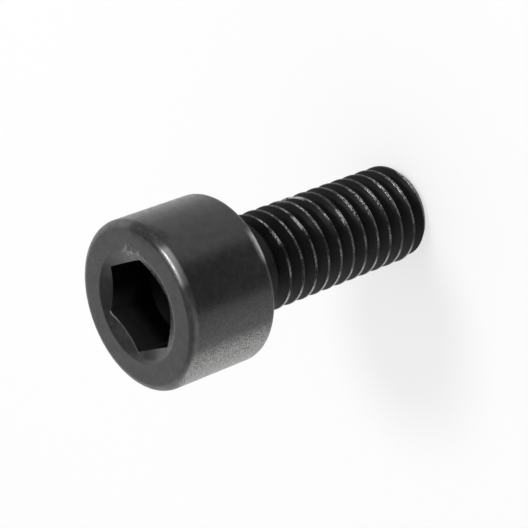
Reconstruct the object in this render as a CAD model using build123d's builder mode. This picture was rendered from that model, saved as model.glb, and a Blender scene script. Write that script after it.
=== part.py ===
# Hexagon socket head cap screw, M6 x 14, forged and rolled from one piece of steel.
# The screw's axis is the Z axis and its head is up. The origin is the centre of the bearing
# face, where the underside of the head meets the work, so the shank runs down to negative Z.
# All lengths are in millimetres and all angles in degrees.
import os
from math import ceil, radians, tan

from build123d import *

# Head: a plain cylinder with a softened edge at each end
head_diameter = 10.0
head_height = 6.0
top_edge_radius = 0.5
bearing_edge_radius = 0.4

# Hexagon socket: flats for the key, a wide shallow lead-in and a drilled floor
socket_across_flats = 5.05
socket_depth = 3.0
lead_in_diameter = 6.6
lead_in_angle = 130.0
floor_angle = 120.0

# Shank: from the bearing face to the flat of the tip
shank_length = 14.2
neck_diameter = 5.5
neck_length = 2.05
neck_chamfer = 0.25
tip_flat_diameter = 5.24
tip_chamfer_angle = 35.0

# Thread: right-hand metric thread, rolled over the whole shank below the neck. The angle is
# that of a crest where it would cross the plane of the bearing face.
thread_diameter = 5.92
thread_pitch = 1.0
thread_angle = 60.0
crest_share = 1 / 8
root_share = 1 / 6
run_out_turns = 0.55
tip_fade_turns = 0.6
thread_start_angle = 191.0

# Spare material that is trimmed away or buried: turns beyond each end, and the overlap
spare_turns = 1.2
trim_overlap = 0.05

# Sizes that follow from the driving dimensions
head_radius = head_diameter / 2
neck_radius = neck_diameter / 2
crest_radius = thread_diameter / 2
crest_width = thread_pitch * crest_share
root_width = thread_pitch * root_share
flank_width = (thread_pitch - crest_width - root_width) / 2
thread_depth = flank_width / tan(radians(thread_angle / 2))
root_radius = crest_radius - thread_depth
run_out_length = thread_pitch * run_out_turns
tip_radius = tip_flat_diameter / 2
tip_chamfer_slope = 1 / tan(radians(tip_chamfer_angle))
lead_in_radius = lead_in_diameter / 2
lead_in_point = head_height - lead_in_radius / tan(radians(lead_in_angle / 2))
socket_radius = socket_across_flats / 2
socket_floor = head_height - socket_depth
floor_point = socket_floor - socket_radius / tan(radians(floor_angle / 2))
thread_top = -neck_length
shank_end = -shank_length
run_out_slope = run_out_length / (crest_radius - neck_radius)
groove_end_slope = run_out_length / (neck_radius - root_radius)
tip_fade_slope = thread_pitch * tip_fade_turns / (tip_radius - root_radius)

# One pitch of the thread in section, from the lower edge of a crest to that of the next one
stock_bottom = shank_end - thread_pitch * spare_turns
stock_turns = ceil((thread_top - stock_bottom) / thread_pitch + spare_turns)
stock_angle = thread_start_angle + 360 * stock_bottom / thread_pitch
thread_profile = [
    (crest_radius, -crest_width / 2),
    (crest_radius, crest_width / 2),
    (root_radius, crest_width / 2 + flank_width),
    (root_radius, crest_width / 2 + flank_width + root_width),
    (crest_radius, thread_pitch - crest_width / 2),
]


def helix_turn(radius, height):
    """One turn of a helix that starts at the given height above the bottom of the stock."""
    turn = Edge.make_helix(thread_pitch, thread_pitch, radius, center=(0, 0, stock_bottom + height))
    return turn.rotate(Axis.Z, stock_angle)


def end_faces(height):
    """The ramp and the upright wall that close the stock where a turn starts or ends."""
    profile = [(radius, height + level) for radius, level in thread_profile]
    first_level = profile[0][1]
    last_level = profile[-1][1]
    outline = [(0, first_level), *profile, (0, last_level)]
    corners = [Vector(radius, 0, stock_bottom + level) for radius, level in outline]
    wall = Face(Wire.make_polygon([corner.rotate(Axis.Z, stock_angle) for corner in corners]))
    axis_line = Edge.make_line(corners[0], corners[-1])
    ramp = Face.make_surface_from_curves(axis_line, helix_turn(crest_radius, first_level))
    return [ramp, wall]


# Every corner of the profile draws a helix, and neighbouring helices bound the crest, the two
# flanks and the root. Each further turn is the first one raised by a pitch. The turns and the
# faces that close the two ends are joined into one solid, the thread before it is trimmed.
helices = [helix_turn(radius, level) for radius, level in thread_profile]
first_turn = [Face.make_surface_from_curves(low, high) for low, high in zip(helices, helices[1:])]
turn_places = [Location((0, 0, thread_pitch * turn)) for turn in range(stock_turns)]
turn_faces = [face.moved(place) for place in turn_places for face in first_turn]
closing_faces = end_faces(0) + end_faces(thread_pitch * stock_turns)
thread_stock = Solid(Shell(turn_faces + closing_faces))

# The thread is trimmed to the outline of the shank: a chamfered tip below, and above the
# crests rise out of the neck over the run-out. The outline stands clear of the crests, and
# its top lies inside the neck.
outline_radius = crest_radius + trim_overlap
core_radius = neck_radius - trim_overlap
with BuildPart() as thread:
    add(thread_stock)
    with BuildSketch(Plane.XZ) as thread_outline:
        with BuildLine():
            Polyline(
                (0, shank_end),
                (tip_radius, shank_end),
                (outline_radius, shank_end + (outline_radius - tip_radius) * tip_chamfer_slope),
                (outline_radius, thread_top - (outline_radius - neck_radius) * run_out_slope),
                (core_radius, thread_top + trim_overlap * run_out_slope),
                (0, thread_top + trim_overlap * run_out_slope),
                close=True,
            )
        make_face()
    revolve(axis=Axis.Z, mode=Mode.INTERSECT)

with BuildPart() as cap_screw:
    # Head, neck and the cones that fill the groove as it fades at the neck and at the tip
    cone_end = thread_top - run_out_length - trim_overlap * groove_end_slope
    tip_cone_end = shank_end + (tip_radius - root_radius + trim_overlap) * tip_fade_slope
    with BuildSketch(Plane.XZ) as blank_outline:
        with BuildLine():
            Polyline(
                (0, head_height),
                (head_radius, head_height),
                (head_radius, 0),
                (neck_radius, 0),
                (neck_radius, thread_top),
                (root_radius - trim_overlap, cone_end),
                (0, cone_end),
                close=True,
            )
        make_face()
        rim_corners = blank_outline.vertices().group_by(Axis.X)[-1]
        fillet(rim_corners.sort_by(Axis.Y)[-1], radius=top_edge_radius)
        rim_corners = blank_outline.vertices().group_by(Axis.X)[-1]
        fillet(rim_corners.sort_by(Axis.Y)[0], radius=bearing_edge_radius)
        neck_corners = blank_outline.vertices().filter_by_position(Axis.X, neck_radius, neck_radius)
        chamfer(neck_corners.sort_by(Axis.Y)[-1], length=neck_chamfer)
        with BuildLine():
            Polyline(
                (0, shank_end),
                (tip_radius, shank_end),
                (root_radius - trim_overlap, tip_cone_end),
                (0, tip_cone_end),
                close=True,
            )
        make_face()
    revolve(axis=Axis.Z)

    add(thread.part)

    # Socket: the hexagon, then the two cones that the drills leave, one across its mouth and
    # one below its flats
    with BuildSketch(Plane.XY.offset(socket_floor)) as socket_section:
        RegularPolygon(socket_radius, 6, major_radius=False)
    extrude(amount=socket_depth, mode=Mode.SUBTRACT)
    with BuildSketch(Plane.XZ) as drill_sections:
        with BuildLine():
            Polyline((0, head_height), (lead_in_radius, head_height), (0, lead_in_point), close=True)
        make_face()
        with BuildLine():
            Polyline((0, socket_floor), (socket_radius, socket_floor), (0, floor_point), close=True)
        make_face()
    revolve(axis=Axis.Z, mode=Mode.SUBTRACT)

cap_screw.part.label = "cap_screw"
os.makedirs("parts", exist_ok=True)
export_step(cap_screw.part, "parts/cap_screw.step")
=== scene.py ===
# %% [markdown]
# ## The screw and its frame
# This lesson dresses a hexagon socket head cap screw, M6 by 14 mm, in black oxide. The real
# screw is forged and rolled from one piece of steel, so it is one closed mesh here as well.
# The imported model gives the frame: metres, the screw's axis along Z, its head up and the
# centre of its bearing face at the origin. The finished mesh has to fill the same one.

# %% Load the frame
from math import cos, pi, radians, sin, tan

import bpy
from mathutils import Matrix, Vector


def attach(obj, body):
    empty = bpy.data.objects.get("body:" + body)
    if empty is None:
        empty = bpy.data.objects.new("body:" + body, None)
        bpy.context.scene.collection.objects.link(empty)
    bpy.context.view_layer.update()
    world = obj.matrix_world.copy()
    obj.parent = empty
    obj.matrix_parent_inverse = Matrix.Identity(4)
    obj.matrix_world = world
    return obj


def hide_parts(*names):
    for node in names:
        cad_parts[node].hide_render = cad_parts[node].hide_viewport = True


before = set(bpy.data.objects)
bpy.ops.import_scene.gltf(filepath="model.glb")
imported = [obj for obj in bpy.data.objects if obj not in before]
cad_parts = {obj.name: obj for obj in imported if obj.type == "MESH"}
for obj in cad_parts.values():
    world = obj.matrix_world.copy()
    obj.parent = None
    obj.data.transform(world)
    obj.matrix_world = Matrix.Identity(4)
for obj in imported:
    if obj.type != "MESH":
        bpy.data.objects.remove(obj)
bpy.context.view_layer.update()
MM = 0.001

# %% [markdown]
# ## The sizes
# These are the sizes of the solid, in millimetres and degrees, so that the visual mesh lies on
# it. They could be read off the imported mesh, but written out they can be changed one by one.
# The small rounds come later, each where it is made. A forged and tumbled screw has no sharp
# edge anywhere, and those narrow curves catch the light along the rim and the crests.

# %% Sizes of the solid
HEAD_R, HEAD_H = 5.0, 6.0
TOP_EDGE, BEARING_EDGE = 0.5, 0.4
LEAD_IN_R, LEAD_IN_ANGLE = 3.3, 130.0
SOCKET_FLATS, SOCKET_DEPTH, FLOOR_ANGLE = 5.05, 3.0, 120.0
NECK_R, NECK_LENGTH, RUN_OUT = 2.75, 2.05, 0.55
SHANK_LENGTH, TIP_R, TIP_ANGLE, TIP_FADE = 14.2, 2.62, 35.0, 0.6
CREST_R, PITCH, CREST_WIDTH, ROOT_WIDTH = 2.96, 1.0, 1 / 8, 1 / 6
THREAD_ANGLE, START_ANGLE = 60.0, 191.0
FLANK = (PITCH - CREST_WIDTH - ROOT_WIDTH) / 2
ROOT_R = CREST_R - FLANK / tan(radians(THREAD_ANGLE / 2))
print("thread depth in mm:", round(CREST_R - ROOT_R, 3))

# %% [markdown]
# ## Drawing a profile and turning it
# A lathe part starts as half of its outline. Here one vertex is extruded from point to point
# in the XZ plane, as one would click it out by hand, and chosen corners are rounded with a
# vertex bevel. Spin then turns the outline about Z. A cylinder with bevelled edges would be
# quicker, but the head's rim, lead-in and neck are easier to keep true in one outline.
# Merging the doubles closes the seam and the poles, and the normals are turned outwards last.

# %% Helpers for profiles
SAME_POINT = 0.0005 * MM


def only(obj):
    """Deselect everything and make one object active."""
    bpy.ops.object.select_all(action="DESELECT")
    obj.select_set(True)
    bpy.context.view_layer.objects.active = obj


def edit_all(obj):
    """Enter edit mode on one object, with all of its mesh selected."""
    only(obj)
    bpy.ops.object.mode_set(mode="EDIT")
    bpy.ops.mesh.select_all(action="SELECT")


def draw_profile(name, points, rounded=()):
    """Extrude one vertex through points (radius, height); rounded lists (corner, width, steps)."""
    bpy.ops.object.select_all(action="DESELECT")
    bpy.ops.mesh.primitive_plane_add(size=0.01 * MM, location=(0, 0, 0))
    obj = bpy.context.object
    obj.name = name
    edit_all(obj)
    bpy.ops.mesh.merge(type="CENTER")
    bpy.ops.transform.translate(value=(points[0][0] * MM, 0, points[0][1] * MM))
    for (r0, z0), (r1, z1) in zip(points, points[1:]):
        step = ((r1 - r0) * MM, 0, (z1 - z0) * MM)
        bpy.ops.mesh.extrude_vertices_move(TRANSFORM_OT_translate={"value": step})
    for corner, width, steps in rounded:
        bpy.ops.mesh.select_all(action="DESELECT")
        bpy.ops.object.mode_set(mode="OBJECT")
        target = Vector((corner[0] * MM, 0, corner[1] * MM))
        nearest = min(obj.data.vertices, key=lambda v: (v.co - target).length)
        nearest.select = True
        bpy.ops.object.mode_set(mode="EDIT")
        bpy.ops.mesh.bevel(affect="VERTICES", offset=width * MM, segments=steps, profile=0.5)
    bpy.ops.object.mode_set(mode="OBJECT")
    print(name, "profile points:", len(obj.data.vertices))
    return obj


def close_mesh():
    """In edit mode: merge doubles, then turn the normals outwards."""
    bpy.ops.mesh.select_all(action="SELECT")
    bpy.ops.mesh.remove_doubles(threshold=SAME_POINT)
    bpy.ops.mesh.normals_make_consistent(inside=False)


def spin_profile(obj, steps):
    """Turn the outline once about Z into a closed mesh with outward normals."""
    edit_all(obj)
    bpy.ops.mesh.spin(steps=steps, angle=2 * pi, center=(0, 0, 0), axis=(0, 0, 1))
    close_mesh()
    bpy.ops.object.mode_set(mode="OBJECT")
    print(obj.name, "faces:", len(obj.data.polygons))


# %% [markdown]
# ## Head and neck
# The head is a plain cylinder. Its top edge is a soft half-millimetre round, and the wide
# lead-in of the socket is part of the same outline, so that its rim gets a small round too.
# An extra point beside each round keeps the shading of the long straight walls flat. The
# outline ends in a cone that lies inside the thread, where the groove runs out into the neck.

# %% Turn the head, the neck and the run-out cone
HEAD_SIDES = 160
LEAD_IN_ROUND, NECK_FILLET = 0.07, 0.25
thread_top = -NECK_LENGTH
lead_in_floor = HEAD_H - LEAD_IN_R / tan(radians(LEAD_IN_ANGLE / 2))
overlap = 0.05
groove_slope = RUN_OUT / (NECK_R - ROOT_R)
cone_end = thread_top - RUN_OUT - overlap * groove_slope
guard = 0.06
lead_in_guard = 0.12
head_points = [
    (0, lead_in_floor),
    (LEAD_IN_R, HEAD_H),
    (LEAD_IN_R + lead_in_guard, HEAD_H),
    (HEAD_R - TOP_EDGE - guard, HEAD_H),
    (HEAD_R, HEAD_H),
    (HEAD_R, HEAD_H - TOP_EDGE - guard),
    (HEAD_R, BEARING_EDGE + guard),
    (HEAD_R, 0),
    (HEAD_R - BEARING_EDGE - guard, 0),
    (NECK_R + NECK_FILLET + guard, 0),
    (NECK_R, 0),
    (NECK_R, -NECK_FILLET - guard),
    (NECK_R, thread_top),
    (ROOT_R - overlap, cone_end),
    (0, cone_end),
]
rounds = [
    ((LEAD_IN_R, HEAD_H), LEAD_IN_ROUND, 3),
    ((HEAD_R, HEAD_H), TOP_EDGE, 10),
    ((HEAD_R, 0), BEARING_EDGE, 8),
    ((NECK_R, 0), NECK_FILLET, 6),
]
screw = draw_profile("cap_screw_black", head_points, rounds)
spin_profile(screw, HEAD_SIDES)

# %% [markdown]
# ## The socket
# Such a socket is punched, or drilled and then broached. Its flats meet the cone of the lead-in
# in six shallow scallops, and a cone lies below them. Cutting with closed tools gives the
# scallops by themselves, where insets and extrusions would need each one drawn. The punch is
# a six-sided prism with slightly rounded corners, and the drill ends in a cone.

# %% Make the punch
socket_r = SOCKET_FLATS / 2
corner_r = socket_r / cos(radians(30))
floor_z = HEAD_H - SOCKET_DEPTH
PUNCH_LENGTH, CORNER_ROUND = 4, 0.08
punch_middle = (0, 0, (floor_z + PUNCH_LENGTH / 2) * MM)
bpy.ops.object.select_all(action="DESELECT")
bpy.ops.mesh.primitive_cylinder_add(
    vertices=6, radius=corner_r * MM, depth=PUNCH_LENGTH * MM, location=punch_middle
)
punch = bpy.context.object
bpy.ops.object.transform_apply(location=True, rotation=True, scale=True)
edit_all(punch)
bpy.ops.transform.rotate(value=radians(30), orient_axis="Z", center_override=(0, 0, 0))
bpy.ops.mesh.select_mode(type="EDGE")
bpy.ops.mesh.select_all(action="DESELECT")
bpy.ops.object.mode_set(mode="OBJECT")
for edge in punch.data.edges:
    low, high = [punch.data.vertices[i].co for i in edge.vertices]
    edge.select = abs(low.z - high.z) > MM
bpy.ops.object.mode_set(mode="EDIT")
bpy.ops.mesh.bevel(offset=CORNER_ROUND * MM, segments=3)
bpy.ops.mesh.select_mode(type="VERT")
bpy.ops.object.mode_set(mode="OBJECT")
corner = max(punch.data.vertices, key=lambda v: v.co.x).co
print("corner of the hexagon in mm:", [round(v / MM, 3) for v in corner])

# %% Cut the hexagon and the drilled floor
def join_solid(obj, tool, operation):
    """Apply a boolean between two closed meshes and remove the tool."""
    only(obj)
    boolean = obj.modifiers.new("boolean", "BOOLEAN")
    boolean.operation = operation
    boolean.solver = "EXACT"
    boolean.object = tool
    bpy.ops.object.modifier_apply(modifier=boolean.name)
    bpy.data.objects.remove(tool, do_unlink=True)
    print(obj.name, operation, "faces:", len(obj.data.polygons))


DRILL_SIDES = 96
wall_gap = 0.02
drill_r = socket_r - wall_gap
drill_top = floor_z + 0.5
drill_tip = floor_z - socket_r / tan(radians(FLOOR_ANGLE / 2))
drill_points = [(0, drill_top), (drill_r, drill_top), (drill_r, floor_z), (0, drill_tip)]
drill = draw_profile("drill", drill_points)
spin_profile(drill, DRILL_SIDES)
join_solid(screw, punch, "DIFFERENCE")
join_solid(screw, drill, "DIFFERENCE")

# %% [markdown]
# ## The thread
# A screw thread is one groove that climbs a pitch with every turn. A stack of rings would be
# quicker, but its crests would not lean, and the eye sees that at once. So one pitch is drawn
# from root to root, its four corners are rounded, and the Screw modifier carries it round and
# up. Turns that meet are merged, and the two ragged ends are bisected off and filled.

# %% Draw one pitch
CREST_ROUND, ROOT_ROUND = 0.045, 0.06
whole_turns = int(SHANK_LENGTH / PITCH)
turns = whole_turns + 3
crest_at_x = -START_ANGLE / 360 * PITCH
first_root = crest_at_x - PITCH * (whole_turns + 2) - PITCH / 2
half_root = ROOT_WIDTH / 2
thread_points = [
    (ROOT_R, first_root),
    (ROOT_R, first_root + half_root),
    (CREST_R, first_root + half_root + FLANK),
    (CREST_R, first_root + half_root + FLANK + CREST_WIDTH),
    (ROOT_R, first_root + PITCH - half_root),
    (ROOT_R, first_root + PITCH),
]
thread_rounds = [
    (thread_points[1], ROOT_ROUND, 3),
    (thread_points[2], CREST_ROUND, 3),
    (thread_points[3], CREST_ROUND, 3),
    (thread_points[4], ROOT_ROUND, 3),
]
thread = draw_profile("thread", thread_points, thread_rounds)

# %% Wind it round and up, and cut off the ragged ends
TURN_STEPS = 96
only(thread)
winding = thread.modifiers.new("winding", "SCREW")
winding.axis = "Z"
winding.angle = 2 * pi
winding.screw_offset = PITCH * MM
winding.iterations = turns
winding.steps = TURN_STEPS
winding.render_steps = TURN_STEPS
winding.use_merge_vertices = True
winding.merge_threshold = SAME_POINT
bpy.ops.object.modifier_apply(modifier=winding.name)
edit_all(thread)
bpy.ops.mesh.remove_doubles(threshold=SAME_POINT)

SPARE_BELOW, SPARE_ABOVE = 0.5, 0.4
shank_end = -SHANK_LENGTH
stock_bottom = shank_end - SPARE_BELOW
stock_top = thread_top + SPARE_ABOVE
for cut, outwards in ((stock_bottom, -1), (stock_top, 1)):
    bpy.ops.mesh.select_all(action="SELECT")
    bpy.ops.mesh.bisect(
        plane_co=(0, 0, cut * MM),
        plane_no=(0, 0, outwards),
        clear_outer=True,
        use_fill=True,
        threshold=0.0001 * MM,
    )
close_mesh()
bpy.ops.object.mode_set(mode="OBJECT")
print("thread faces:", len(thread.data.polygons))

# %% [markdown]
# ## The ends of the thread
# Rolling leaves the last groove shallow, so it fades into the tip over little more than half a
# turn, and under the head the crests rise out of the neck over about the same. The pitch could
# be scaled down turn by turn, but cones do it in one cut. One fills the groove at the tip, and
# the turned outline of the shank trims the rest. The cone reaches below the tip, because two
# faces in one plane can leave holes in a boolean.

# %% Fill the groove at the tip, trim the thread and join it to the neck
fade_slope = TIP_FADE / (TIP_R - ROOT_R)
fade_end = shank_end + TIP_FADE + overlap * fade_slope
cone_bottom = shank_end - 0.3
cone_gap = 0.01
cone_bottom_r = TIP_R - cone_gap + (shank_end - cone_bottom) / fade_slope
tip_points = [
    (0, cone_bottom),
    (cone_bottom_r, cone_bottom),
    (ROOT_R - overlap, fade_end),
    (0, fade_end),
]
tip = draw_profile("tip", tip_points)
spin_profile(tip, HEAD_SIDES)
join_solid(thread, tip, "UNION")

chamfer_slope = 1 / tan(radians(TIP_ANGLE))
run_out_slope = RUN_OUT / (CREST_R - NECK_R)
clear_r = CREST_R + overlap
core_r = NECK_R - overlap
outline_points = [
    (0, shank_end),
    (TIP_R, shank_end),
    (clear_r, shank_end + (clear_r - TIP_R) * chamfer_slope),
    (clear_r, thread_top - (clear_r - NECK_R) * run_out_slope),
    (core_r, thread_top + overlap * run_out_slope),
    (0, thread_top + overlap * run_out_slope),
]
outline = draw_profile("shank_outline", outline_points)
spin_profile(outline, HEAD_SIDES)
join_solid(thread, outline, "INTERSECT")
join_solid(screw, thread, "UNION")

# %% [markdown]
# ## Nicks in the crests
# Screws are tumbled together, so the crests take small blows. A dent could be cut with a
# boolean, but here the few points near each blow are pushed towards the axis three times, in
# a smaller circle each time, which leaves a shallow bowl. The same places get bare steel later,
# as wear and as a painted highlight.

# %% Knock the nicks into the crests
NICKS = [
    ((2.29, -1.85, -6.5), 0.6),
    ((-0.33, -2.93, -2.64), 0.3),
    ((0.11, -2.95, -4.75), 0.3),
    ((-0.52, -2.9, -7.69), 0.3),
]
CREST_SKIN, BLOW = 0.12, 0.012
only(screw)
for middle, reach in NICKS:
    hit = Vector(middle) * MM
    inwards = Vector((-middle[0], -middle[1], 0)).normalized()
    for share in (1.0, 0.7, 0.4):
        bpy.ops.object.mode_set(mode="EDIT")
        bpy.ops.mesh.select_all(action="DESELECT")
        bpy.ops.object.mode_set(mode="OBJECT")
        near = [v for v in screw.data.vertices if (v.co - hit).length < share * reach * MM]
        for vertex in near:
            vertex.select = vertex.co.xy.length > (CREST_R - CREST_SKIN) * MM
        bpy.ops.object.mode_set(mode="EDIT")
        bpy.ops.transform.translate(value=inwards * BLOW * MM)
        bpy.ops.object.mode_set(mode="OBJECT")
    print("nick at", middle, "points near its middle:", len(near))

# %% [markdown]
# ## Smooth shading and a check
# The rounds are real geometry, so the mesh needs no subdivision, which would soften the
# flanks as well. It is shaded smooth only where two faces meet at a small angle, and that
# keeps the mouth of the socket and the tip crisp. Every edge of a closed mesh has two faces,
# and counting them shows whether a boolean left a hole.

# %% Smooth the surface and count its edges
SMOOTH_ANGLE = 28
edit_all(screw)
bpy.ops.mesh.remove_doubles(threshold=SAME_POINT)
bpy.ops.object.mode_set(mode="OBJECT")
bpy.ops.object.shade_smooth_by_angle(angle=radians(SMOOTH_ANGLE))
triangles = sum(len(p.vertices) - 2 for p in screw.data.polygons)
faces_on = {}
for polygon in screw.data.polygons:
    for key in polygon.edge_keys:
        faces_on[key] = faces_on.get(key, 0) + 1
print("triangles:", triangles, "edges without two faces:", sum(n != 2 for n in faces_on.values()))

# %% [markdown]
# ## Black oxide
# A hot bath turns the steel's own skin into a black oxide, which then takes up a little oil.
# Head-on it mirrors about a twentieth of the light, and far more at a low angle. That could be
# a dark shader with its specular level varied from place to place, but the export drops a
# linked specular level. So the shader is a dark metal, and its base colour alone says how much
# each place mirrors: oxide, painted shade, or bare steel for wear and painted highlights.

# %% Start the material
black = bpy.data.materials.new("black_oxide")
black.use_nodes = True
nodes, links = black.node_tree.nodes, black.node_tree.links


def feed(value, socket):
    """Set a socket to a number or a colour, or link it to another node's output."""
    if isinstance(value, bpy.types.NodeSocket):
        links.new(value, socket)
    else:
        socket.default_value = value


def calc(operation, *values):
    """One math node."""
    node = nodes.new("ShaderNodeMath")
    node.operation = operation
    for value, socket in zip(values, node.inputs):
        feed(value, socket)
    return node.outputs["Value"]


# %% [markdown]
# ## Where a point is on the screw
# A painted map would need UVs on a thread, and a picture beside the script. A screw is regular,
# so radius, height and distance across the flats are enough to tell a crest from a groove or
# the inside of the socket from its mouth. They come from Object coordinates, in millimetres.

# %% Radius, height and distance across the flats
in_mm = nodes.new("ShaderNodeVectorMath")
in_mm.operation = "SCALE"
in_mm.inputs["Scale"].default_value = 1 / MM
links.new(nodes.new("ShaderNodeTexCoord").outputs["Object"], in_mm.inputs["Vector"])
place = in_mm.outputs["Vector"]
split = nodes.new("ShaderNodeSeparateXYZ")
links.new(place, split.inputs["Vector"])
x, y, z = [split.outputs[axis] for axis in "XYZ"]
radius = calc("SQRT", calc("ADD", calc("MULTIPLY", x, x), calc("MULTIPLY", y, y)))
flats = []
for turn in (30, 90, 150):
    along_x = calc("MULTIPLY", x, cos(radians(turn)))
    along_y = calc("MULTIPLY", y, sin(radians(turn)))
    flats.append(calc("ABSOLUTE", calc("ADD", along_x, along_y)))
across = calc("MAXIMUM", calc("MAXIMUM", flats[0], flats[1]), flats[2])
print("nodes that measure:", len(nodes))

# %% [markdown]
# ## Masks
# A mask is 1 where a mark is and 0 elsewhere, with a soft edge between. Two masks multiplied
# are the place where both are, and the larger of two is the place that either covers. Three
# noises, from patches of a millimetre down to a fine speckle, break up every edge, because
# real wear is never even.

# %% Helpers for masks
def fade(value, low, high, at_low=0.0, at_high=1.0):
    """A smooth step from one number to another while the value goes from low to high."""
    node = nodes.new("ShaderNodeMapRange")
    node.interpolation_type = "SMOOTHSTEP"
    names = ("Value", "From Min", "From Max", "To Min", "To Max")
    for item, name in zip((value, low, high, at_low, at_high), names):
        feed(item, node.inputs[name])
    return node.outputs["Result"]


def above(value, low, high):
    """1 where the value is over high, and 0 where it is under low."""
    return fade(value, low, high)


def below(value, low, high):
    """1 where the value is under low, and 0 where it is over high."""
    return fade(value, low, high, at_low=1.0, at_high=0.0)


def both(*masks):
    """Where all the masks are."""
    result = masks[0]
    for mask in masks[1:]:
        result = calc("MULTIPLY", result, mask)
    return result


def either(*masks):
    """Where any of the masks is."""
    result = masks[0]
    for mask in masks[1:]:
        result = calc("MAXIMUM", result, mask)
    return result


def spot(middle, reach):
    """A soft patch round a place on the screw, in millimetres."""
    away = nodes.new("ShaderNodeVectorMath")
    away.operation = "DISTANCE"
    links.new(place, away.inputs[0])
    away.inputs[1].default_value = middle
    return below(away.outputs["Value"], 0.35 * reach, reach)


def noise(scale, detail, rough=0.5):
    """Noise on the object's own coordinates, in features per millimetre."""
    texture = nodes.new("ShaderNodeTexNoise")
    links.new(place, texture.inputs["Vector"])
    texture.inputs["Scale"].default_value = scale
    texture.inputs["Detail"].default_value = detail
    texture.inputs["Roughness"].default_value = rough
    return texture.outputs["Fac"]


patches = noise(0.9, 3)
broken = noise(4.5, 4, 0.6)
speckle = noise(13.0, 3, 0.6)

# %% [markdown]
# ## Where the skin is dull or shaded
# The socket and the grooves are dull, and darkened with painted shade. A smudge lies over the
# front of the rim. These masks only say where: how dark each place gets is settled with the
# colours, so that either can be changed without the other.

# %% Masks of the dull and shaded places
SMUDGE_PLACES = [((2.5, -4.15, 5.9), 1.0), ((1.95, -4.45, 5.8), 1.0), ((1.4, -4.75, 5.6), 0.9)]
inside = both(below(across, socket_r + 0.01, socket_r + 0.03), above(z, 0.0, 0.5))
drilled = both(inside, below(z, floor_z + 0.02, floor_z + 0.1))
groove = both(below(z, -0.3, -0.1), below(radius, CREST_R - 0.06, CREST_R - 0.02))
smudge = either(*[spot(middle, reach) for middle, reach in SMUDGE_PLACES])
smudge = both(smudge, fade(broken, 0.3, 0.6, at_low=0.6, at_high=1.0))
print("nodes with the dull places:", len(nodes))

# %% [markdown]
# ## Wear and painted highlights on the thread
# Tumbling and handling rub the oxide thin on the crests, which stick out furthest. On one side
# they are rubbed in long bright lines, towards the front they are only struck in places, and
# near the tip they are chattered, with bright crumbs that reach a little down the flanks. These
# bright marks are wear and painted highlights at once, laid where light catches the crests. All
# of this is found by radius, because nothing else on the shank is as far from the axis.

# %% Masks of the crests, the nicks and the tip
CREST_LINE = CREST_R - 0.035, CREST_R - 0.015
CHATTER_BAND = CREST_R - 0.09, CREST_R - 0.04
NICK_BAND = CREST_R - 0.13, CREST_R - 0.07
crest = both(below(z, -2.4, -2.1), above(radius, *CREST_LINE))
thin = fade(patches, 0.4, 0.65, at_high=0.12)
# Painted highlight: the crests at the front are struck bright where light catches them.
front = both(below(y, -1.8, -1.2), above(x, -2.8, -2.3), below(x, 1.0, 1.8))
front = both(front, fade(patches, 0.44, 0.54, at_low=0.1))
struck_and_highlit = both(front, above(speckle, 0.46, 0.53), fade(x, -1.2, -0.3, at_low=0.4))
# Painted sheen: the crests on the low side are rubbed bright where they mirror the floor.
low_side = both(above(y, -1.1, -0.2), below(x, -2.0, -1.0))
rubbed_and_sheen = both(low_side, fade(broken, 0.36, 0.5, at_low=0.45))
crest_wear_and_highlights = both(crest, either(thin, struck_and_highlit, rubbed_and_sheen))

# Painted highlight: bright crumbs near the tip, where light catches the crests.
chatter_and_highlights = both(below(y, -2.3, -2.1), below(z, -8.6, -8.0), above(x, -1.3, -0.6), below(x, 0.6, 1.2))
chatter_and_highlights = both(chatter_and_highlights, above(speckle, 0.5, 0.55), above(radius, *CHATTER_BAND))

long_nick, *short_nicks = [middle for middle, reach in NICKS]
# The nicks are bare steel, as wear and as a painted highlight.
nicks_and_highlights = both(spot(long_nick, 1.2), above(broken, 0.4, 0.48))
for middle in short_nicks:
    nicks_and_highlights = either(nicks_and_highlights, both(spot(middle, 0.65), above(speckle, 0.4, 0.5)))
nicks_and_highlights = both(nicks_and_highlights, above(radius, *NICK_BAND))

tip_edge = both(below(z, shank_end + 0.12, shank_end + 0.3), above(radius, TIP_R - 0.12, TIP_R - 0.02))
tip_wear = both(tip_edge, fade(broken, 0.4, 0.55, at_low=0.1, at_high=0.7))
print("nodes with the wear on the thread:", len(nodes))

# %% [markdown]
# ## Wear and painted highlights on the head
# The rims of a head are two narrow rounds. Each is found by how far a point is out, and up or
# down, from the middle of its round, added together: the sum is largest halfway round. Blender's
# own pointiness would find them too, but the wear would be wider where the mesh is coarser.
# One side of the head looks blasted by grit, with bare grains of steel that grow denser towards
# its outer side as a painted highlight. The streaks on both rims are wear and painted highlights
# together. The far edge of the hexagon is worn bright where keys went in, which is also a
# painted highlight, and the face has scuffs on the side across from it.

# %% Masks of the rims, the blasted side and the mouth of the socket
# Places of wear that also serve as painted highlights on the two rims.
RUBBED_AND_HIGHLIT_RIM = (-0.7, -4.8, 5.8), 1.55
REAR_HIGHLIGHT_STREAK = (-1.25, -4.8, 0.1), 1.3
SCUFF_PLACES = [((2.25, -2.3, 6.0), 0.7), ((1.5, -2.75, 6.0), 0.7)]
on_head = above(radius, 4.0, 4.2)
out_from_top = calc("SUBTRACT", radius, HEAD_R - TOP_EDGE)
up_from_top = calc("SUBTRACT", z, HEAD_H - TOP_EDGE)
top_rim = both(on_head, above(calc("ADD", out_from_top, up_from_top), 0.52, 0.66))
out_from_low = calc("SUBTRACT", radius, HEAD_R - BEARING_EDGE)
up_from_low = calc("SUBTRACT", z, BEARING_EDGE)
low_rim = both(on_head, above(calc("SUBTRACT", out_from_low, up_from_low), 0.42, 0.56))

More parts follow.
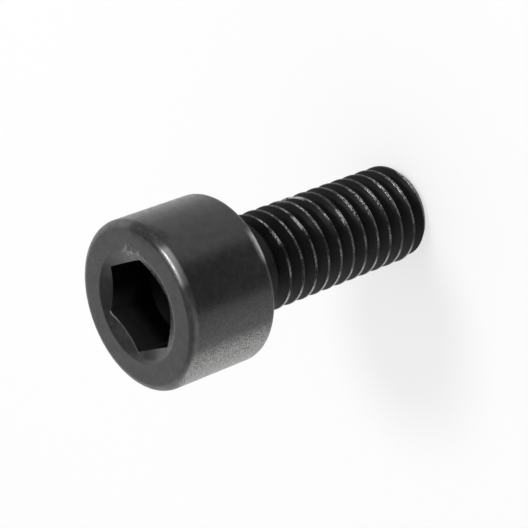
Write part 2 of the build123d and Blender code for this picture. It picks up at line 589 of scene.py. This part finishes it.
# Painted highlight: the rubbed spot on the top rim lies where the lamp's streak falls.
rim_shine = either(fade(noise(1.3, 3), 0.35, 0.65, at_low=0.06, at_high=0.14), spot(*RUBBED_AND_HIGHLIT_RIM))
rim_wear_and_highlight = both(top_rim, calc("MINIMUM", rim_shine, 0.5), calc("SUBTRACT", 1.0, smudge))
# Painted highlight: a streak of bare steel on the rim under the head.
rear_wear_and_highlight = both(above(radius, 4.7, 4.85), below(z, 0.35, 0.65), spot(*REAR_HIGHLIGHT_STREAK))
rear_wear_and_highlight = both(rear_wear_and_highlight, fade(broken, 0.3, 0.5, at_low=0.6))
blasted = both(on_head, below(x, -4.9, -2.6), below(z, 5.8, 6.0))
# Painted highlight: bare grains grow denser towards the outermost side of the head.
bare_grains_and_highlight = fade(x, -5.0, -4.5, at_low=0.95, at_high=0.12)
grit_and_highlight = both(blasted, fade(speckle, 0.4, 0.55, at_high=bare_grains_and_highlight))

lead_in_rise = tan(radians(90 - LEAD_IN_ANGLE / 2))
lead_in_z = calc("ADD", calc("MULTIPLY", radius, lead_in_rise), lead_in_floor)
over_lead_in = calc("SUBTRACT", z, lead_in_z)
mouth = both(below(across, socket_r + 0.02, socket_r + 0.06), above(over_lead_in, -0.08, -0.04))
# Painted highlight: the far edge of the hexagon, worn by keys, brightest towards +X.
mouth_wear_and_highlight = both(mouth, above(y, 2.4, 2.5), fade(x, 0.5, 1.1, at_low=0.3, at_high=1.4))
mouth_wear_and_highlight = both(mouth_wear_and_highlight, fade(broken, 0.35, 0.6, at_low=0.5, at_high=0.8))
scuffs = either(*[spot(middle, reach) for middle, reach in SCUFF_PLACES])
scuffs = both(scuffs, fade(broken, 0.45, 0.6, at_high=0.25))
print("nodes with the wear on the head:", len(nodes))

# %% [markdown]
# ## Colour
# The oxide itself is cloudy, between two dark greys. Painted shade is mixed over it, most in the
# depth of the socket and along one side of the grooves. Bare steel comes last, both as wear and
# as painted highlights. A separate material for each finish would need seams in the mesh, and a
# worn edge has none: its oxide thins out. So one material mixes the three colours by the masks.

# %% Oxide, painted shade and bare steel
DARK_OXIDE = (0.0455, 0.0465, 0.0463, 1)
LIGHT_OXIDE = (0.059, 0.0592, 0.059, 1)
# Soot for the smudge, and painted shade everywhere else it is mixed in.
SOOT_AND_PAINTED_SHADE = (0.0015, 0.0015, 0.0016, 1)
# Bare steel, for wear and for painted highlights.
BARE_STEEL_AND_HIGHLIGHT = (0.36, 0.355, 0.35, 1)


def mix(share, first, second):
    """Mix two colours."""
    node = nodes.new("ShaderNodeMix")
    node.data_type = "RGBA"
    feed(share, node.inputs["Factor"])
    feed(first, node.inputs["A"])
    feed(second, node.inputs["B"])
    return node.outputs["Result"]


clouds = nodes.new("ShaderNodeValToRGB")
for stop, at, colour in zip(clouds.color_ramp.elements, (0.3, 0.7), (DARK_OXIDE, LIGHT_OXIDE)):
    stop.position = at
    stop.color = colour
links.new(noise(1.6, 6), clouds.inputs["Fac"])

# Painted shade in the socket: darker away from the wall at +Y, and darker with depth.
painted_shade_by_side = fade(y, 1.0, 2.4, at_low=0.97, at_high=0.1)
painted_shade_by_depth = fade(z, 3.6, 4.8, at_low=0.9, at_high=0.0)
soot_and_painted_shade = [
    # painted shade on the socket's walls
    both(inside, either(painted_shade_by_side, painted_shade_by_depth)),
    # painted shade, almost black, on the drilled floor of the socket
    drilled,
    # painted shade over the grooves and the neck, heavier towards +X
    both(groove, fade(x, -0.6, 0.8, at_low=0.66, at_high=0.88)),
    # painted shade over the crests, broken by noise
    both(crest, fade(broken, 0.4, 0.6, at_low=0.95, at_high=0.5)),
    # painted shade on the rim under the head
    both(low_rim, 0.92),
    both(smudge, 0.45),
    # painted shade in the lead-in, on the side towards -X and +Y
    both(spot((-2.3, 1.8, 5.8), 1.0), fade(radius, 3.0, 3.2, at_low=0.55, at_high=0.0)),
]
skin = clouds.outputs["Color"]
for mask in soot_and_painted_shade:
    skin = mix(mask, skin, SOOT_AND_PAINTED_SHADE)
# Bare steel for wear, and as painted highlights where light catches crests, nicks, rims and edges.
wear_and_highlights = either(tip_wear, nicks_and_highlights, chatter_and_highlights, crest_wear_and_highlights, rim_wear_and_highlight, rear_wear_and_highlight, grit_and_highlight, mouth_wear_and_highlight, scuffs)
shader = nodes["Principled BSDF"]
shader.inputs["Metallic"].default_value = 0.9
feed(mix(wear_and_highlights, skin, BARE_STEEL_AND_HIGHLIGHT), shader.inputs["Base Color"])
print("sooty places:", len(soot_and_painted_shade))

# %% [markdown]
# ## Gloss and grain
# The oil leaves a soft, uneven gloss, a little rougher along the rubbed rim and dull in the
# socket and the grooves. The grain is at most six thousandths of a millimetre deep, and about
# eight times as deep on the blasted side. It is far too fine to model, so it is a bump.

# %% Roughness and bump
uneven = fade(noise(3.0, 5, 0.6), 0.3, 0.7, at_low=0.24, at_high=0.36)
handled = calc("ADD", uneven, both(top_rim, 0.05))
dull = either(both(inside, 0.55), both(groove, 0.5))
feed(either(handled, dull), shader.inputs["Roughness"])

FINE_GRAIN, BLASTED_GRAIN = 0.006 * MM, 0.05 * MM
grain = nodes.new("ShaderNodeBump")
grain.inputs["Strength"].default_value = 0.5
feed(fade(blasted, 0.0, 1.0, at_low=FINE_GRAIN, at_high=BLASTED_GRAIN), grain.inputs["Distance"])
links.new(speckle, grain.inputs["Height"])
links.new(grain.outputs["Normal"], shader.inputs["Normal"])
screw.data.materials.append(black)
print("nodes in all:", len(nodes))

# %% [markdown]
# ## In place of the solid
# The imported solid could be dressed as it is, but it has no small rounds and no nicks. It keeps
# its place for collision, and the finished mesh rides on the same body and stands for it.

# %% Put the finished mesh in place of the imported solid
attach(screw, "root")
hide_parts("cap_screw")

# %% [markdown]
# ## The floor
# The screw stands on the flat of its tip on a pale floor, wide enough to be the background
# too. The light is kept low, so paper alone would come out grey. Rays that come from the camera,
# a mirror or glass see the floor partly as glowing white, and all other rays see paper. So the
# background is white, the screw mirrors it, and the floor still takes a soft shadow.

# %% Floor
FLOOR_SIDE = 3.0
PAPER = (0.9, 0.9, 0.9, 1)
GLOW = 0.6
bpy.ops.object.select_all(action="DESELECT")
bpy.ops.mesh.primitive_plane_add(size=FLOOR_SIDE, location=(0, 0, shank_end * MM))
floor = bpy.context.object
floor.name = "floor"
bpy.ops.object.transform_apply(location=True, rotation=True, scale=True)
pale = bpy.data.materials.new("pale_floor")
pale.use_nodes = True
nodes, links = pale.node_tree.nodes, pale.node_tree.links
paper = nodes["Principled BSDF"]
paper.inputs["Base Color"].default_value = PAPER
paper.inputs["Roughness"].default_value = 0.9
paper.inputs["Specular IOR Level"].default_value = 0.0
white = nodes.new("ShaderNodeEmission")
rays = nodes.new("ShaderNodeLightPath").outputs
seen = either(rays["Is Camera Ray"], rays["Is Glossy Ray"], rays["Is Transmission Ray"])
glowing = nodes.new("ShaderNodeMixShader")
links.new(both(seen, GLOW), glowing.inputs["Fac"])
links.new(paper.outputs["BSDF"], glowing.inputs[1])
links.new(white.outputs["Emission"], glowing.inputs[2])
links.new(glowing.outputs["Shader"], nodes["Material Output"].inputs["Surface"])
floor.data.materials.append(pale)
print("floor height in mm:", shank_end, "side in m:", FLOOR_SIDE)

# %% [markdown]
# ## Light
# Most of the light is the room: a white world, dimmer overhead, so that the face of the head
# isn't washed out. One round lamp from above draws the streak on the rim. A sun would draw it
# too, but as a hard line with a hard shadow, so the lamp is a disk, 100 mm wide.

# %% Lamp
LAMP_AZIMUTH, LAMP_ELEVATION, LAMP_DISTANCE = radians(138), radians(65), 400
LAMP_WIDTH, LAMP_POWER = 100, 0.6
flat = cos(LAMP_ELEVATION)
way = Vector((sin(LAMP_AZIMUTH) * flat, cos(LAMP_AZIMUTH) * flat, sin(LAMP_ELEVATION)))
lamp = bpy.data.lights.new("overhead", "AREA")
lamp.shape = "DISK"
lamp.size = LAMP_WIDTH * MM
lamp.energy = LAMP_POWER
overhead = bpy.data.objects.new("overhead", lamp)
bpy.context.collection.objects.link(overhead)
overhead.location = way * LAMP_DISTANCE * MM
overhead.rotation_mode = "QUATERNION"
overhead.rotation_quaternion = way.to_track_quat("Z", "Y")
print("lamp in mm:", [round(v / MM) for v in overhead.location])

# %% Room
ROOM_STRENGTH = 1.35
ROOM_WHITE, ROOM_CEILING = (1, 1, 1, 1), (0.2, 0.2, 0.2, 1)
world = bpy.data.worlds.new("studio")
bpy.context.scene.world = world
world.use_nodes = True
nodes, links = world.node_tree.nodes, world.node_tree.links
way_up = nodes.new("ShaderNodeSeparateXYZ")
links.new(nodes.new("ShaderNodeTexCoord").outputs["Generated"], way_up.inputs["Vector"])
shade = nodes.new("ShaderNodeValToRGB")
for stop, at, colour in zip(shade.color_ramp.elements, (0.58, 0.8), (ROOM_WHITE, ROOM_CEILING)):
    stop.position = at
    stop.color = colour
links.new(way_up.outputs["Z"], shade.inputs["Fac"])
sky = nodes["Background"]
sky.inputs["Strength"].default_value = ROOM_STRENGTH
links.new(shade.outputs["Color"], sky.inputs["Color"])
print("room strength:", ROOM_STRENGTH)

# %% [markdown]
# ## A dark card
# A dark, glossy thing is drawn by what it mirrors. In the photo the middle of the head's side
# mirrors something dark, and without that the whole side is one flat grey. A dark studio card
# does it here: a curved wall on a flat foot, beside the screw. Only reflections see it, so it
# throws no shadow and isn't in the picture. It is a profile spun through part of a turn.

# %% Dark card
CARD_NEAR, CARD_R, CARD_TOP = 18, 160, 150
CARD_FROM, CARD_TURN, CARD_STEPS = 175, 65, 26
card_bottom = shank_end + 0.2
card = draw_profile("dark_card", [(CARD_NEAR, card_bottom), (CARD_R, card_bottom), (CARD_R, CARD_TOP)])
edit_all(card)
bpy.ops.transform.rotate(value=radians(CARD_FROM - 90), orient_axis="Z", center_override=(0, 0, 0))
bpy.ops.mesh.spin(steps=CARD_STEPS, angle=radians(CARD_TURN), center=(0, 0, 0), axis=(0, 0, 1))
bpy.ops.object.mode_set(mode="OBJECT")
card_box = [card.bound_box[0], card.bound_box[6]]
print("card box in mm:", [round(v / MM) for corner in card_box for v in corner])
CARD_GREY = (0.2, 0.2, 0.2, 1)
dark = bpy.data.materials.new("dark_card")
dark.use_nodes = True
matt = dark.node_tree.nodes["Principled BSDF"]
matt.inputs["Base Color"].default_value = CARD_GREY
matt.inputs["Specular IOR Level"].default_value = 0.0
card.data.materials.append(dark)
card.visible_camera = False
card.visible_diffuse = False
card.visible_shadow = False

# %% [markdown]
# ## The camera
# The camera looks down on the head through a long lens, and is rolled so that the screw lies
# across the picture. Aiming it with a constraint would keep it upright, so its place and its
# two directions are written out, and made square to each other.

# %% Camera
CAMERA_PLACE = Vector((-41.54, -89.91, 71.83)) * MM
PICTURE_RIGHT = Vector((-0.5569, -0.3670, -0.7451)).normalized()
LOOKING = Vector((0.3323, 0.7238, -0.6048)).normalized()
camera = bpy.data.cameras.new("camera")
camera.sensor_width = 36.0
camera.lens = 146.09
camera.clip_start = 0.005
camera.clip_end = 10.0
eye = bpy.data.objects.new("camera", camera)
bpy.context.collection.objects.link(eye)
picture_up = PICTURE_RIGHT.cross(LOOKING)
square_right = LOOKING.cross(picture_up)
turned = Matrix((square_right, picture_up, -LOOKING)).transposed()
eye.matrix_world = Matrix.Translation(CAMERA_PLACE) @ turned.to_4x4()
bpy.context.scene.camera = eye
bpy.context.scene.view_settings.view_transform = "Standard"
print("camera to origin in mm:", round(CAMERA_PLACE.length / MM, 1))
